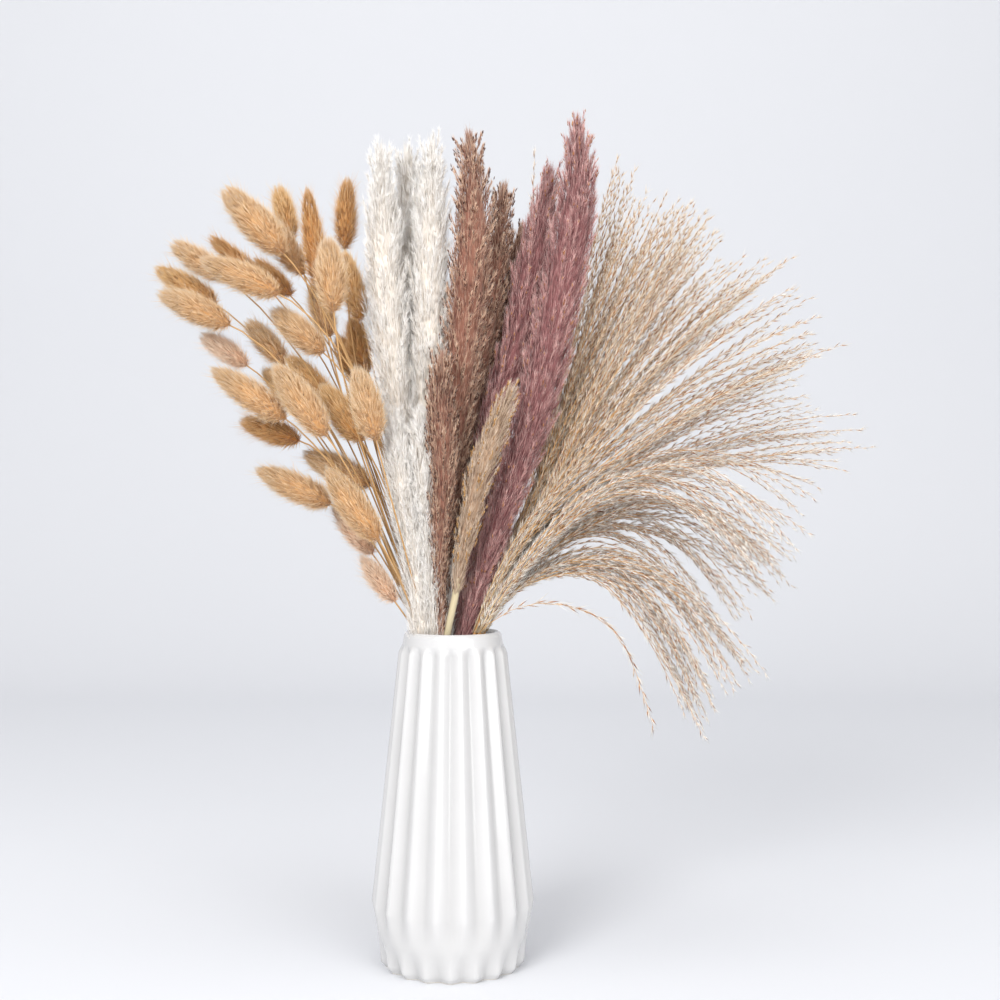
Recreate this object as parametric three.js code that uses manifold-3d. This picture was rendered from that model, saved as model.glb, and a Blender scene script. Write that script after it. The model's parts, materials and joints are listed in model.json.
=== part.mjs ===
// A bunch of mixed dried grasses standing in a pleated ceramic vase.
// Millimetres, +Z up, +Y away from the viewer. The origin is the middle of the vase's flat
// underside. Every stalk, from its cut end in the vase to the tip of its flower, is one solid.

import * as THREE from "three";
import { mergeVertices } from "three/addons/utils/BufferGeometryUtils.js";
import Module from "manifold-3d";

const wasm = await Module();
wasm.setup();

// ---------------------------------------------------------------- driving dimensions

const vase = {
  height: 190,
  mouthRadius: 28,
  bodyRadius: 44.5,
  bodyHeight: 36, // where the body is widest
  footRadius: 38.5,
  wall: 4,
  floor: 6,
  lip: 7, // height of the smooth collar above the pleats
  pleats: 18,
  pleatDepth: 1.8, // ridge and valley stand this far out and in
};

const bunch = {
  reach: 292, // from the mouth to the tip of the tallest plume
  shareInVase: 0.86, // the stems' spacing on the vase's floor, as a share of that in its mouth
  clearance: 0.6, // between neighbouring stalks, and between a stalk and the vase
  well: 9, // the stems leave the back of the vase free beyond this depth
};

const stemRadius = { bunnyTail: 0.6, plume: 1.2, beige: 2.2, panicle: 1.3, strand: 0.8 };

const bunnyTail = {
  fullness: 0.94, // the solid core, as a share of the width given below
  innermost: 0.5, // where the most upright stems stand in the mouth, as a share of the bore
  spread: 0.48, // how much further out the most leaning ones stand
  back: 6, // how far behind its flower's share of depth a stem stands in the mouth
  turn: 0.3, // the part of its length over which a stem turns into its head's direction
  head: [[0.08, 0.55], [0.3, 1], [0.6, 0.92], [0.88, 0.5], [1, 0]], // [share of length, of radius]
};

// Along a plume's feathering, for t from 0 to 1, its radius is peak * t^rise * (1 - t)^fall, as
// a share of half the width given below.
const plume = { peak: 1.85, rise: 0.75, fall: 0.45 };

const panicle = {
  stemArch: 3, // how far the stem rises above the straight line to its forks
  forkDepth: 0.35, // the share of its depth that a panicle has reached at its forks
  uneven: 0.05, // a raceme is up to this share longer or shorter than drawn
  spread: 15, // how far the racemes' tips stand before or behind the panicle's own depth
};

const depthInMouth = 0.45; // a stem's depth in the mouth, as a share of its flower's depth

const raceme = {
  radius: 1.35, // the seed-bearing branches of a panicle
  count: 7, // on each panicle, the axis's own end included
  stagger: 13, // between the forks along the axis
};

const tones = {
  ceramic: { color: "#f6f5f2", roughness: 0.18 },
  light: { color: "#e3c39b", roughness: 0.85 },
  golden: { color: "#cf9456", roughness: 0.85 },
  brown: { color: "#b27a48", roughness: 0.85 },
  pinkish: { color: "#dfb597", roughness: 0.85 },
  white: { color: "#efe9de", roughness: 0.9 },
  reed: { color: "#a77460", roughness: 0.9 },
  mauve: { color: "#a27a80", roughness: 0.9 },
  beige: { color: "#c2a184", roughness: 0.9 },
  fan: { color: "#b98a5e", roughness: 0.85 },
};

// ---------------------------------------------------------------- the arrangement
// Places are [x, z]: x to the right of the vase's axis and z above its mouth, for a bunch
// with the reach below. depth is how far the flower stands behind the axis, or before it.

const drawnReach = 292; // the reach that the places below are drawn for

const bunnyTails = [
  { tip: [-175, 211], base: [-138, 190], width: 13, depth: 20, tone: "golden" },
  { tip: [-164, 191], base: [-124, 173], width: 15, depth: -20, tone: "light" },
  { tip: [-143, 169], base: [-117, 152], width: 11, depth: -2, tone: "pinkish" },
  { tip: [-161, 222], base: [-130, 202], width: 13, depth: 0, tone: "light" },
  { tip: [-138, 208], base: [-95, 189], width: 15, depth: -30, tone: "light" },
  { tip: [-146, 232], base: [-113, 204], width: 10, depth: 34, tone: "brown" },
  { tip: [-129, 251], base: [-95, 214], width: 19, depth: -14, tone: "light" },
  { tip: [-115, 245], base: [-86, 205], width: 15, depth: 6, tone: "light" },
  { tip: [-104, 260], base: [-96, 229], width: 11, depth: 24, tone: "golden" },
  { tip: [-121, 219], base: [-97, 198], width: 10, depth: 40, tone: "brown" },
  { tip: [-83, 253], base: [-76, 194], width: 12, depth: -4, tone: "brown" },
  { tip: [-62, 263], base: [-64, 221], width: 11, depth: 16, tone: "brown" },
  { tip: [-68, 220], base: [-65, 179], width: 16, depth: -30, tone: "light" },
  { tip: [-63, 218], base: [-53, 178], width: 13, depth: 4, tone: "golden" },
  { tip: [-101, 182], base: [-72, 158], width: 15, depth: -14, tone: "light" },
  { tip: [-120, 179], base: [-98, 154], width: 12, depth: 14, tone: "light" },
  { tip: [-84, 203], base: [-74, 172], width: 12, depth: 30, tone: "light" },
  { tip: [-133, 148], base: [-92, 120], width: 16, depth: -24, tone: "light" },
  { tip: [-60, 182], base: [-52, 150], width: 12, depth: 20, tone: "brown" },
  { tip: [-120, 120], base: [-87, 109], width: 13, depth: -4, tone: "brown" },
  { tip: [-70, 172], base: [-58, 144], width: 12, depth: 38, tone: "brown" },
  { tip: [-112, 152], base: [-88, 126], width: 12, depth: 26, tone: "golden" },
  { tip: [-96, 158], base: [-70, 132], width: 12, depth: 10, tone: "golden" },
  { tip: [-97, 149], base: [-69, 110], width: 17, depth: -34, tone: "light" },
  { tip: [-73, 139], base: [-50, 108], width: 16, depth: -14, tone: "golden" },
  { tip: [-51, 147], base: [-41, 108], width: 16, depth: -38, tone: "light" },
  { tip: [-109, 92], base: [-68, 73], width: 16, depth: -16, tone: "light" },
  { tip: [-86, 102], base: [-47, 84], width: 16, depth: 12, tone: "light" },
  { tip: [-68, 92], base: [-39, 53], width: 16, depth: -32, tone: "light" },
  { tip: [-68, 73], base: [-46, 44], width: 13, depth: 2, tone: "pinkish" },
  { tip: [-50, 42], base: [-32, 18], width: 10, depth: -16, tone: "pinkish" },
];

// head is the height at which the plume's feathering starts.
const plumes = [
  { name: "white_plume_left", tone: "white", head: 18, width: 17, depth: -4,
    spine: [[-15, 0], [-21, 50], [-30, 120], [-38, 190], [-41, 278]] },
  { name: "white_plume_back", tone: "white", head: 18, width: 17, depth: 18,
    spine: [[-12, 0], [-16, 50], [-22, 120], [-26, 190], [-27, 283]] },
  { name: "white_plume_right", tone: "white", head: 18, width: 17, depth: -2,
    spine: [[-9, 0], [-12, 50], [-15, 120], [-13, 190], [-12, 282]] },
  { name: "white_plume_low_left", tone: "white", head: 14, width: 12, depth: -22,
    spine: [[-18, 0], [-21, 35], [-27, 75], [-32, 122]] },
  { name: "white_plume_low_right", tone: "white", head: 14, width: 11, depth: -24,
    spine: [[-10, 0], [-13, 35], [-15, 75], [-17, 124]] },
  { name: "brown_plume_front", tone: "reed", head: 22, width: 18, depth: -10,
    spine: [[-5, 0], [-5, 50], [0, 110], [8, 180], [12, 240], [9, 287]] },
  { name: "brown_plume_middle", tone: "reed", head: 30, width: 14, depth: 14,
    spine: [[-3, 0], [0, 60], [10, 130], [22, 200], [30, 262]] },
  { name: "brown_plume_back", tone: "reed", head: 30, width: 14, depth: 32,
    spine: [[0, 0], [4, 60], [16, 130], [30, 190], [41, 241]] },
  { name: "brown_plume_low", tone: "reed", head: 18, width: 12, depth: -30,
    spine: [[-6, 0], [-7, 50], [-5, 90], [-6, 130], [-5, 158]] },
  { name: "mauve_plume_left", tone: "mauve", head: 30, width: 17, depth: 8,
    spine: [[4, 0], [12, 60], [24, 120], [38, 165], [50, 230], [57, 268]] },
  { name: "mauve_plume_right", tone: "mauve", head: 16, width: 19, depth: -12,
    spine: [[7, 0], [26, 60], [45, 120], [59, 180], [70, 240], [71, 292]] },
  { name: "beige_plume", tone: "beige", head: 22, width: 13, depth: -32,
    spine: [[-3, 0], [1, 18], [9, 60], [17, 92], [26, 118], [34, 138]] },
];

// first and last are the tips of a panicle's outer racemes, and arch is how far each raceme
// rises above the straight line to its tip.
const panicles = [
  { mouth: 9, fork: [41, 62], first: [92, 262], last: [146, 235], arch: 9, depth: 8 },
  { mouth: 10, fork: [42, 60], first: [104, 262], last: [166, 218], arch: 10, depth: 26 },
  { mouth: 12, fork: [42, 56], first: [132, 238], last: [184, 204], arch: 10, depth: -10 },
  { mouth: 13, fork: [40, 54], first: [168, 202], last: [222, 164], arch: 12, depth: -20 },
  { mouth: 15, fork: [42, 46], first: [198, 156], last: [242, 105], arch: 14, depth: 14 },
  { mouth: 16, fork: [40, 38], first: [211, 74], last: [175, 33], arch: 42, depth: -26 },
  { mouth: 17, fork: [37, 30], first: [208, 42], last: [160, -12], arch: 35, depth: 30 },
  { mouth: 18, fork: [32, 21], first: [172, -22], last: [138, -57], arch: 36, depth: -4 },
];

const strands = [
  { name: "drooping_spray", depth: -34,
    spine: [[14, 0], [30, 12], [45, 17], [60, 17], [80, 11], [92, 0], [100, -15], [112, -52]] },
  { name: "thin_spray", depth: 42,
    spine: [[1, 0], [12, 80], [30, 160], [44, 230], [48, 288]] },
];

// ---------------------------------------------------------------- centre lines
// A thread is the centre line of a stalk or raceme: a list of { at, radius }, root to tip.

const mouthPoint = ([x, z]) => {
  const scale = bunch.reach / drawnReach;
  return new THREE.Vector2(x * scale, vase.height + z * scale);
};

// The outer radius of the vase's body, without its pleats.
function bodyRadiusAt(z) {
  if (z < vase.bodyHeight) {
    const rise = Math.sin((Math.max(z, 0) / vase.bodyHeight) * (Math.PI / 2));
    return vase.footRadius + (vase.bodyRadius - vase.footRadius) * rise;
  }
  const climb = (z - vase.bodyHeight) / (vase.height - vase.bodyHeight);
  return THREE.MathUtils.lerp(vase.bodyRadius, vase.mouthRadius, Math.min(climb, 1));
}

const depthGrowth = 0.8; // the share of its length above the mouth in which a stalk reaches its depth

const boreRadiusAt = (z) => bodyRadiusAt(z) - vase.wall;

// Depth in the mouth for a flower that stands at the given depth, kept inside the bore.
function mouthDepth(x, depth, radius, back) {
  const room = boreRadiusAt(vase.height) - radius - bunch.clearance;
  const half = Math.sqrt(Math.max(room * room - x * x, 0));
  const drawn = depth * depthInMouth + back;
  return THREE.MathUtils.clamp(drawn, -half, Math.min(half, bunch.well - radius));
}

// The stem below the mouth: its cut end on the vase's floor and its place in the mouth. A
// flower that stands behind the mouth has its stem's end towards the front, in one line.
function stemInVase(mouth, depth, radius, { reach = 0, back = 0 } = {}) {
  const inMouth = new THREE.Vector3(mouth.x, mouthDepth(mouth.x, depth, radius, back), mouth.y);
  const onFloor = inMouth.clone().multiplyScalar(bunch.shareInVase);
  onFloor.z = vase.floor + bunch.clearance;
  const lean = (depth - inMouth.y) / (depthGrowth * reach);
  if (reach && lean > 0) onFloor.y = inMouth.y - lean * (inMouth.z - onFloor.z);
  return [{ at: onFloor, radius, inBore: true }, { at: inMouth, radius, inBore: true }];
}

// The open-air part: points along a curve in x and z, whose depth grows to that of the flower.
function threadAbove(curve, shares, radii, from, depth) {
  return shares.map((share, i) => {
    const p = curve.getPointAt(share);
    const y = THREE.MathUtils.lerp(from, depth, Math.min(share / depthGrowth, 1));
    return { at: new THREE.Vector3(p.x, y, p.y), radius: radii[i] };
  });
}

const lastOf = (list) => list[list.length - 1];
const evenly = (from, to, steps) =>
  Array.from({ length: steps }, (_, i) => THREE.MathUtils.lerp(from, to, i / (steps - 1)));

// A stem that leaves the mouth towards the flower and turns into the flower's own direction.
function bunnyTailThread({ tip, base, width, depth }) {
  const [tipPoint, basePoint] = [mouthPoint(tip), mouthPoint(base)];
  const lean = Math.atan2(-basePoint.x, basePoint.y - vase.height);
  const bore = boreRadiusAt(vase.height) - 2;
  const outward = bunnyTail.innermost + bunnyTail.spread * Math.min(lean, 1);
  const mouth = new THREE.Vector2(-bore * outward, vase.height);
  const reach = mouth.distanceTo(basePoint);
  const nod = basePoint.clone().sub(tipPoint).setLength(bunnyTail.turn * reach);
  const stem = new THREE.QuadraticBezierCurve(mouth, basePoint.clone().add(nod), basePoint);
  const root = stemInVase(mouth, depth, stemRadius.bunnyTail, { back: bunnyTail.back });
  const stemShares = [0.25, 0.5, 0.75, 1];
  const above = threadAbove(
    stem, stemShares, stemShares.map(() => stemRadius.bunnyTail), root[1].at.y, depth);
  const full = (width / 2) * bunnyTail.fullness;
  const last = lastOf(above).at;
  const end = new THREE.Vector3(tipPoint.x, depth, tipPoint.y);
  for (const [share, fat] of bunnyTail.head) {
    above.push({ at: last.clone().lerp(end, share), radius: full * fat });
  }
  return [...root, ...above];
}

// A plume swells from its stem to its fullest at two thirds and closes to a point.
function plumeThread({ spine, head, width, depth, tone }) {
  const radius = tone === "beige" ? stemRadius.beige : stemRadius.plume;
  const points = spine.map(mouthPoint);
  const curve = new THREE.SplineCurve(points);
  const root = stemInVase(points[0], depth, radius, { reach: curve.getLength() });
  const start = head / lastOf(spine)[1];
  const shares = [start, ...evenly(start + 0.06, 0.9, 8), 0.96, 1];
  const radii = shares.map((share) => {
    const t = (share - start) / (1 - start);
    const swell = plume.peak * Math.pow(t, plume.rise) * Math.pow(1 - t, plume.fall);
    return share === 1 ? 0 : Math.max(radius, (width / 2) * swell);
  });
  return [...root, ...threadAbove(curve, shares, radii, root[1].at.y, depth)];
}

function strandThread({ spine, depth }) {
  const radius = stemRadius.strand;
  const points = spine.map(mouthPoint);
  const curve = new THREE.SplineCurve(points);
  const root = stemInVase(points[0], depth, radius, { reach: curve.getLength() });
  const shares = evenly(0.1, 1, 10);
  const radii = shares.map((share) => (share === 1 ? 0 : radius * 1.4));
  return [...root, ...threadAbove(curve, shares, radii, root[1].at.y, depth)];
}

function archTo(from, tip, arch) {
  const middle = from.clone().lerp(tip, 0.45);
  middle.y += 2 * arch;
  return new THREE.QuadraticBezierCurve(from, middle, tip);
}

// The panicle's axis, with a point at each fork, and a raceme to each side from every fork.
function panicleThreads({ mouth, fork, first, last, arch, depth }) {
  const forkPoint = mouthPoint(fork);
  const root = stemInVase(mouthPoint([mouth, 0]), depth, stemRadius.panicle);
  const stem = archTo(mouthPoint([mouth, 0]), forkPoint, panicle.stemArch);
  const forkDepth = THREE.MathUtils.lerp(root[1].at.y, depth, panicle.forkDepth);
  const below = [0.5, 1].map((share) => {
    const p = stem.getPointAt(share);
    const y = THREE.MathUtils.lerp(root[1].at.y, forkDepth, share);
    return { at: new THREE.Vector3(p.x, y, p.y), radius: stemRadius.panicle };
  });
  const [drawnFork, firstTip, lastTip] = [fork, first, last].map(([x, z]) => new THREE.Vector2(x, z));
  const tips = evenly(0, 1, raceme.count).map((share, i) => {
    const long = 1 + panicle.uneven * Math.sin(5 * i + depth);
    const tip = firstTip.clone().lerp(lastTip, share).sub(drawnFork).multiplyScalar(long);
    return mouthPoint(tip.add(drawnFork).toArray());
  });
  const middle = (raceme.count - 1) / 2;
  const axisCurve = archTo(forkPoint, tips[Math.floor(middle)], arch);
  const length = axisCurve.getLength();
  const forks = Math.ceil(middle);
  const atForks = evenly(raceme.stagger / length, (forks * raceme.stagger) / length, forks);
  const axisShares = [...atForks, ...evenly(lastOf(atForks) + 0.14, 1, 6)];
  const axis = axisShares.map((share) => {
    const p = axisCurve.getPointAt(share);
    const y = THREE.MathUtils.lerp(forkDepth, depth, share);
    return { at: new THREE.Vector3(p.x, y, p.y), radius: share === 1 ? 0 : raceme.radius };
  });
  const threads = [[...root, ...below, ...axis]];
  tips.forEach((tip, i) => {
    if (i === Math.floor(middle)) return;
    const step = forks - Math.ceil(Math.abs(i - middle));
    const joint = root.length + below.length + step;
    const from = threads[0][joint].at;
    const curve = archTo(new THREE.Vector2(from.x, from.z), tip, arch);
    const aside = panicle.spread * (0.5 + 0.5 * Math.abs(Math.sin(3 * i + depth)));
    const tipDepth = depth + (i % 2 ? aside : -aside);
    const rings = evenly(0, 1, 8).map((share) => {
      const p = curve.getPointAt(share);
      const y = THREE.MathUtils.lerp(from.y, tipDepth, share);
      return { at: new THREE.Vector3(p.x, y, p.y), radius: share === 1 ? 0 : raceme.radius };
    });
    threads.push(Object.assign(rings, { joint }));
  });
  return threads;
}

// ---------------------------------------------------------------- settling
// Stalks that would run through each other are moved apart a little at a time: mostly in
// depth above the mouth, and to any side inside the vase.

const settling = {
  rounds: 600,
  ease: 0.5, // how much of an overlap one round takes away
  stiffness: 0.1, // how much of its neighbours' shift a point takes on in one round
  sideways: 0.4, // how readily a stalk moves sideways, against 1 for depth
};

// Where two straight pieces of thread come closest: the shares along them, and the way from
// the second to the first.
function closest(a0, a1, b0, b1) {
  const [u, v, w] = [a1.clone().sub(a0), b1.clone().sub(b0), a0.clone().sub(b0)];
  const [uu, uv, vv, uw, vw] = [u.dot(u), u.dot(v), v.dot(v), u.dot(w), v.dot(w)];
  const clamp = (x) => Math.min(Math.max(x, 0), 1);
  const cross = uu * vv - uv * uv;
  let s = cross > 1e-9 ? clamp((uv * vw - vv * uw) / cross) : 0;
  const t = clamp((uv * s + vw) / (vv || 1));
  s = clamp((uv * t - uw) / (uu || 1));
  return { s, t, apart: w.addScaledVector(u, s).addScaledVector(v, -t) };
}

const apartOn = (axis, a, b, c, d, reach) =>
  Math.min(a.at[axis], b.at[axis]) - Math.max(c.at[axis], d.at[axis]) > reach
  || Math.min(c.at[axis], d.at[axis]) - Math.max(a.at[axis], b.at[axis]) > reach;

const tooFar = (...pieces) =>
  apartOn("x", ...pieces) || apartOn("z", ...pieces) || apartOn("y", ...pieces);

function boxOf(rings) {
  const widest = Math.max(...rings.map((ring) => ring.radius));
  return new THREE.Box3().setFromPoints(rings.map((ring) => ring.at))
    .expandByScalar(widest + bunch.clearance);
}

// The move that takes two pieces from their distance to the one they need.
function parting(apart, need, sideways, upward) {
  const distance = Math.max(apart.length(), 1e-6);
  const away = new THREE.Vector3(
    apart.x * sideways, apart.y + 1e-3 * Math.sign(apart.y || 1), apart.z * upward).normalize();
  const along = Math.max(away.dot(apart) / distance, 0.4);
  return away.multiplyScalar((settling.ease * (need - distance)) / along);
}

function separate(one, other, moves) {
  for (let i = 0; i + 1 < one.length; i++) {
    for (let j = 0; j + 1 < other.length; j++) {
      const [a, b, c, d] = [one[i], one[i + 1], other[j], other[j + 1]];
      const widest = Math.max(a.radius, b.radius) + Math.max(c.radius, d.radius);
      if (tooFar(a, b, c, d, widest + bunch.clearance)) continue;
      const { s, t, apart } = closest(a.at, b.at, c.at, d.at);
      const need = THREE.MathUtils.lerp(a.radius, b.radius, s)
        + THREE.MathUtils.lerp(c.radius, d.radius, t) + bunch.clearance;
      if (apart.lengthSq() >= need * need) continue;
      const inVase = parting(apart, need, 1, 0);
      const inAir = parting(apart, need, settling.sideways, settling.sideways);
      for (const [ring, share] of [[a, 1 - s], [b, s], [c, t - 1], [d, -t]]) {
        moves.get(ring).push((ring.inBore ? inVase : inAir).clone().multiplyScalar(share));
      }
    }
  }
}

// Keeps the part of a stem that is inside the vase clear of its wall and of the well.
function keepInBore(ring) {
  const room = boreRadiusAt(ring.at.z) - ring.radius - bunch.clearance;
  ring.at.y = Math.min(ring.at.y, bunch.well - ring.radius);
  const shrink = Math.min(1, room / Math.hypot(ring.at.x, ring.at.y));
  ring.at.x *= shrink;
  ring.at.y *= shrink;
}

function follow(ring, pushes) {
  for (const axis of ["x", "y", "z"]) {
    const values = pushes.map((push) => push[axis]);
    ring.at[axis] += Math.max(0, ...values) + Math.min(0, ...values);
  }
}

// Spreads a shift to the rings beside it, so that a stalk bends and has no kink.
function ease(rings, stiffness) {
  const shifts = rings.map((ring) => ring.at.clone().sub(ring.home));
  for (let i = 2; i + 1 < rings.length; i++) {
    const even = shifts[i - 1].clone().add(shifts[i + 1]).multiplyScalar(0.5);
    rings[i].at.addScaledVector(even.sub(shifts[i]), stiffness);
  }
}

function settle(stalks) {
  const all = stalks.flatMap((stalk, owner) => stalk.threads.map((rings) => ({ owner, rings })));
  all.forEach(({ rings }) => rings.forEach((ring) => (ring.home = ring.at.clone())));
  for (let round = 0; round < settling.rounds; round++) {
    const moves = new Map(all.flatMap(({ rings }) => rings.map((ring) => [ring, []])));
    const boxes = all.map(({ rings }) => boxOf(rings));
    for (let i = 0; i < all.length; i++) {
      for (let j = i + 1; j < all.length; j++) {
        if (all[i].owner === all[j].owner || !boxes[i].intersectsBox(boxes[j])) continue;
        separate(all[i].rings, all[j].rings, moves);
      }
    }
    const worst = Math.max(0, ...[...moves.values()].flat().map((push) => push.length()));
    if (worst < settling.ease * bunch.clearance / 4) return;
    for (const { rings } of all) {
      rings.forEach((ring) => follow(ring, moves.get(ring)));
      ease(rings, settling.stiffness * (1 - round / settling.rounds));
      rings.filter((ring) => ring.inBore).forEach(keepInBore);
    }
    for (const { owner, rings } of all) {
      if (rings.joint) rings[0].at.copy(stalks[owner].threads[0][rings.joint].at);
    }
  }
}

// ---------------------------------------------------------------- solids

// A lathe turned round the thread: the profile's height is the number of the ring.
function threadGeometry(rings, sides) {
  const closing = lastOf(rings).radius === 0 ? [] : [new THREE.Vector2(0, rings.length - 1)];
  const profile = [
    new THREE.Vector2(0, 0),
    ...rings.map((ring, i) => new THREE.Vector2(ring.radius, i)),
    ...closing,
  ];
  const frames = rings.map((ring, i) => {
    const ahead = rings[Math.min(i + 1, rings.length - 1)].at;
    const along = ahead.clone().sub(rings[Math.max(i - 1, 0)].at).normalize();
    const side = along.clone().cross(new THREE.Vector3(0, 1, 0)).normalize();
    return { at: ring.at, side, other: side.clone().cross(along) };
  });
  const lathe = new THREE.LatheGeometry(profile, sides);
  const position = lathe.attributes.position;
  for (let i = 0; i < position.count; i++) {
    const { at, side, other } = frames[Math.round(position.getY(i))];
    const place = at.clone()
      .addScaledVector(side, position.getX(i))
      .addScaledVector(other, position.getZ(i));
    position.setXYZ(i, place.x, place.y, place.z);
  }
  return closedGeometry(lathe);
}

// Merges the seam and the poles, and drops the faces that this leaves without area.
function closedGeometry(geometry) {
  geometry.deleteAttribute("normal");
  geometry.deleteAttribute("uv");
  const merged = mergeVertices(geometry, 1e-4);
  const index = merged.index.array;
  const kept = [];
  for (let i = 0; i < index.length; i += 3) {
    const [a, b, c] = [index[i], index[i + 1], index[i + 2]];
    if (a !== b && b !== c && c !== a) kept.push(a, b, c);
  }
  merged.setIndex(kept);
  return merged;
}

const asManifold = (geometry) =>
  new wasm.Manifold(new wasm.Mesh({
    numProp: 3,
    vertProperties: new Float32Array(geometry.attributes.position.array),
    triVerts: new Uint32Array(geometry.index.array),
  }));

function joined(geometries) {
  const mesh = geometries.map(asManifold).reduce((all, piece) => all.add(piece)).getMesh();
  const geometry = new THREE.BufferGeometry();
  geometry.setAttribute("position", new THREE.BufferAttribute(mesh.vertProperties, 3));
  geometry.setIndex(new THREE.BufferAttribute(mesh.triVerts, 1));
  return geometry;
}

// The vase's wall, from the middle of its underside up the outside, over the lip and down the
// bore. pleat is how much of the pleat's depth shows: below the belly it turns inside out.
function vaseGeometry() {
  const { height, wall, floor, bodyHeight, lip } = vase;
  const collar = height - lip;
  const mouth = vase.mouthRadius;
  const walls = [
    { r: 0, z: 0, pleat: 0 },
    { r: vase.footRadius - 1.6, z: 0, pleat: -0.8 },
    { r: bodyRadiusAt(3), z: 3, pleat: -1 },
    { r: bodyRadiusAt(bodyHeight / 2), z: bodyHeight / 2, pleat: 0 },
    { r: bodyRadiusAt(bodyHeight), z: bodyHeight, pleat: 1 },
    { r: bodyRadiusAt(collar - 5), z: collar - 5, pleat: 1 },
    { r: bodyRadiusAt(collar), z: collar, pleat: 0 },
    { r: mouth, z: height - wall / 2, pleat: 0 },
    { r: mouth - wall * 0.3, z: height - wall * 0.12, pleat: 0 },
    { r: mouth - wall * 0.5, z: height, pleat: 0 },
    { r: mouth - wall * 0.7, z: height - wall * 0.12, pleat: 0 },
    { r: mouth - wall, z: height - wall / 2, pleat: 0 },
    { r: boreRadiusAt(bodyHeight), z: bodyHeight, pleat: 0 },
    { r: boreRadiusAt(floor + 6), z: floor + 6, pleat: 0 },
    { r: boreRadiusAt(floor) - 5, z: floor, pleat: 0 },
    { r: 0, z: floor, pleat: 0 },
  ];
  const profile = walls.map(({ r, z }) => new THREE.Vector2(r, z));
  const lathe = new THREE.LatheGeometry(profile, 2 * vase.pleats);
  const position = lathe.attributes.position;
  for (let i = 0; i < position.count; i++) {
    const { r, z, pleat } = walls[i % walls.length];
    const column = Math.floor(i / walls.length);
    const angle = (column / (2 * vase.pleats)) * 2 * Math.PI;
    const out = r + pleat * vase.pleatDepth * (column % 2 ? -1 : 1);
    position.setXYZ(i, out * Math.cos(angle), out * Math.sin(angle), z);
  }
  return closedGeometry(lathe);
}

const materialOf = (tone) => new THREE.MeshStandardMaterial({ ...tones[tone], metalness: 0 });

function named(name, geometry, tone) {
  const mesh = new THREE.Mesh(geometry, materialOf(tone));
  mesh.name = name;
  return mesh;
}

// ---------------------------------------------------------------- the bunch

const stalks = [
  ...bunnyTails.map((row, i) => ({
    name: `bunny_tail_${String(i + 1).padStart(2, "0")}`,
    tone: row.tone,
    sides: [6],
    threads: [bunnyTailThread(row)],
  })),
  ...plumes.map((row) => ({
    name: row.name,
    tone: row.tone,
    sides: [8],
    threads: [plumeThread(row)],
  })),
  ...panicles.map((row, i) => ({
    name: `fan_panicle_${i + 1}`,
    tone: "fan",
    sides: [6, 4],
    threads: panicleThreads(row),
  })),
  ...strands.map((row) => ({
    name: row.name,
    tone: "fan",
    sides: [5],
    threads: [strandThread(row)],
  })),
];

settle(stalks);

const group = new THREE.Group();
group.add(named("vase", vaseGeometry(), "ceramic"));
for (const { name, tone, sides, threads } of stalks) {
  const pieces = threads.map((rings, i) => threadGeometry(rings, sides[Math.min(i, sides.length - 1)]));
  group.add(named(name, pieces.length > 1 ? joined(pieces) : pieces[0], tone));
}

export default group;
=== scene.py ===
"""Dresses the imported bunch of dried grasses: fur, plume branchlets, seed sprays and glaze.

Every stalk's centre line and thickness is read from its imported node, so a piece grows where
the frame says. Metres throughout, +Z up.
"""

import json
import math
import zlib

import bmesh
import bpy
import numpy as np
from bpy.props import FloatProperty, FloatVectorProperty, IntProperty, PointerProperty
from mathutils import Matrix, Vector


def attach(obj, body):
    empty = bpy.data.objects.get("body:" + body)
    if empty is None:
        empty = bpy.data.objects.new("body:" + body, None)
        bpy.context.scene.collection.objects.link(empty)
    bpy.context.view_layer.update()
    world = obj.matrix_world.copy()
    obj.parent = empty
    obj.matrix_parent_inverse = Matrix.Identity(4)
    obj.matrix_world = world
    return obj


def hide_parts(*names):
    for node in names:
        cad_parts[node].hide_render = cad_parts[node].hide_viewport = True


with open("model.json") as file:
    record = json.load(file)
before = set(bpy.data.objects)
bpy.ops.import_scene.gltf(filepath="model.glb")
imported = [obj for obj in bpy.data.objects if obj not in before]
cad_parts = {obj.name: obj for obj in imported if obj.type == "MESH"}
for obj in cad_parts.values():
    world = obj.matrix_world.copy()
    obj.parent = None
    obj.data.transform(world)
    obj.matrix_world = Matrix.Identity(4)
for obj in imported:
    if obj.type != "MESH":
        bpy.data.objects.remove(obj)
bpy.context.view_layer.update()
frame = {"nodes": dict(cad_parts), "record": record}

bl_info = {
    "name": "Dried grass bunch",
    "version": (1, 0, 0),
    "blender": (4, 5, 0),
    "location": "View3D > Sidebar > Grass bunch",
    "description": "Grows fur, plumes and seed sprays on a bunch of dried grasses in a vase",
    "category": "Object",
}

MM = 0.001
FULL_TURN = 2 * math.pi
GOLDEN_TURN = math.pi * (3 - math.sqrt(5))
HAIR_MAP = "OFBake"

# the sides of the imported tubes, by which their ends are found
TAIL_SIDES, PLUME_SIDES, STRAND_SIDES = 6, 8, 5
STEM_SIDES, RACEME_SIDES = 6, 4
VASE_COLUMNS = 36


# ---------------- properties


def length_value(name, description, default):
    """A length of this model, in metres."""
    return FloatProperty(name=name, description=description, default=default, min=0, unit="LENGTH")


def count_value(name, description, default):
    return IntProperty(name=name, description=description, default=default, min=0)


def share_value(name, description, default):
    return FloatProperty(name=name, description=description, default=default, min=0, max=3)


def tint_value(name, description, default):
    """A colour, written as sRGB and kept as linear."""
    return FloatVectorProperty(name=name, description=description, default=linear(default),
                               size=3, min=0, max=1, subtype="COLOR")


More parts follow.
